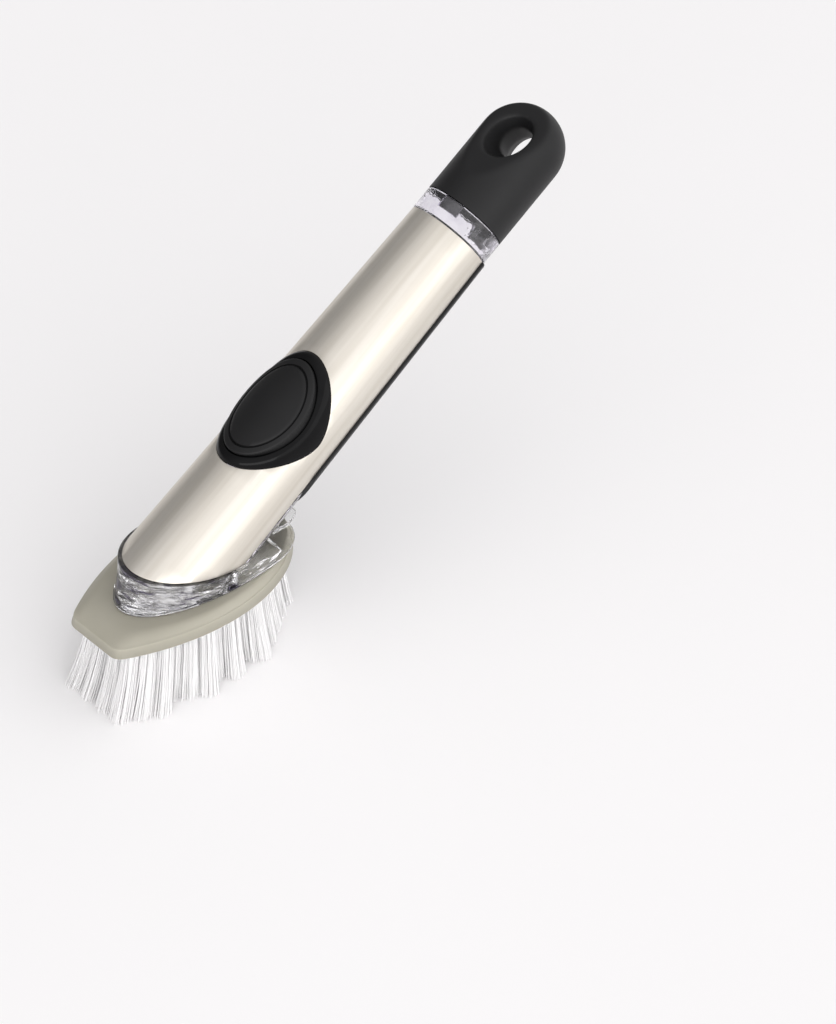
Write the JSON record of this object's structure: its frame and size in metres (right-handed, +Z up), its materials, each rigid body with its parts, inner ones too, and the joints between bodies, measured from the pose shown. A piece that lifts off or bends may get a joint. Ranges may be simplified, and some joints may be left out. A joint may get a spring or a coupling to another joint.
{
  "type": "dish brush",
  "caption": "Dish brush with a steel-clad tubular handle that holds washing-up liquid, a thumb button that pumps it, a pull-off cap with a hang hole and a click-off bristle head.",
  "frame": {"origin": "under the middle of the whole brush, on the plane of the bristle tips", "axes": "+Z up away from the bristle tips, +X from the toe of the head towards the cap, +Y across the head"},
  "size_m": [0.2172, 0.051, 0.1438],
  "materials": {
    "steel": "fine lengthwise brushing, warm silver",
    "clear": "water-clear moulded plastic",
    "frosted": "frosted grey-green moulding",
    "nylon": "white nylon filament",
    "soft_black": "satin soft-touch rubber",
    "gloss_black": "polished black moulding",
    "silicone": "translucent grey silicone",
    "spring_wire": "drawn stainless wire"
  },
  "bodies": {
    "handle": {"reservoir_tube": "clear", "clear_foot": "clear", "steel_sleeve": "steel", "back_grip": "soft_black", "button_surround": "gloss_black", "pump_diaphragm": "silicone", "return_spring": "spring_wire", "spring_seat": "clear"},
    "button": {"button_pad": "soft_black", "button_carrier": "gloss_black"},
    "cap": {"cap_cover": "soft_black", "cap_core": "clear", "cap_o_ring": "silicone"},
    "head": {"brush_plate": "frosted", "bristles_toe": "nylon", "bristles_heel": "nylon", "bristles_left": "nylon", "bristles_right": "nylon", "slit_valve": "silicone", "valve_retainer": "frosted", "spout_seal": "silicone"},
    "latch": {"release_tab": "clear"}
  },
  "joints": [
    {"name": "button_press", "type": "slide", "parent": "handle", "child": "button", "axis": [0.4909, 0, -0.8712], "range_m": [0, 0.004], "stiffness_N_per_m": 600, "springref_m": -0.001, "deforming": ["return_spring", "pump_diaphragm"]},
    {"name": "cap_pull", "type": "slide", "parent": "handle", "child": "cap", "axis": [0.8712, 0, 0.4909], "range_m": [0, 0.03]},
    {"name": "head_release", "type": "slide", "parent": "handle", "child": "head", "axis": [0, 0, -1], "range_m": [0, 0.012]},
    {"name": "latch_press", "type": "hinge", "parent": "handle", "child": "latch", "pos_m": [-0.03406, 0, 0.03653], "axis": [0, 1, 0], "range_deg": [0, 3], "stiffness_Nm_per_rad": 0.002, "springref_deg": -5.73}
  ]
}
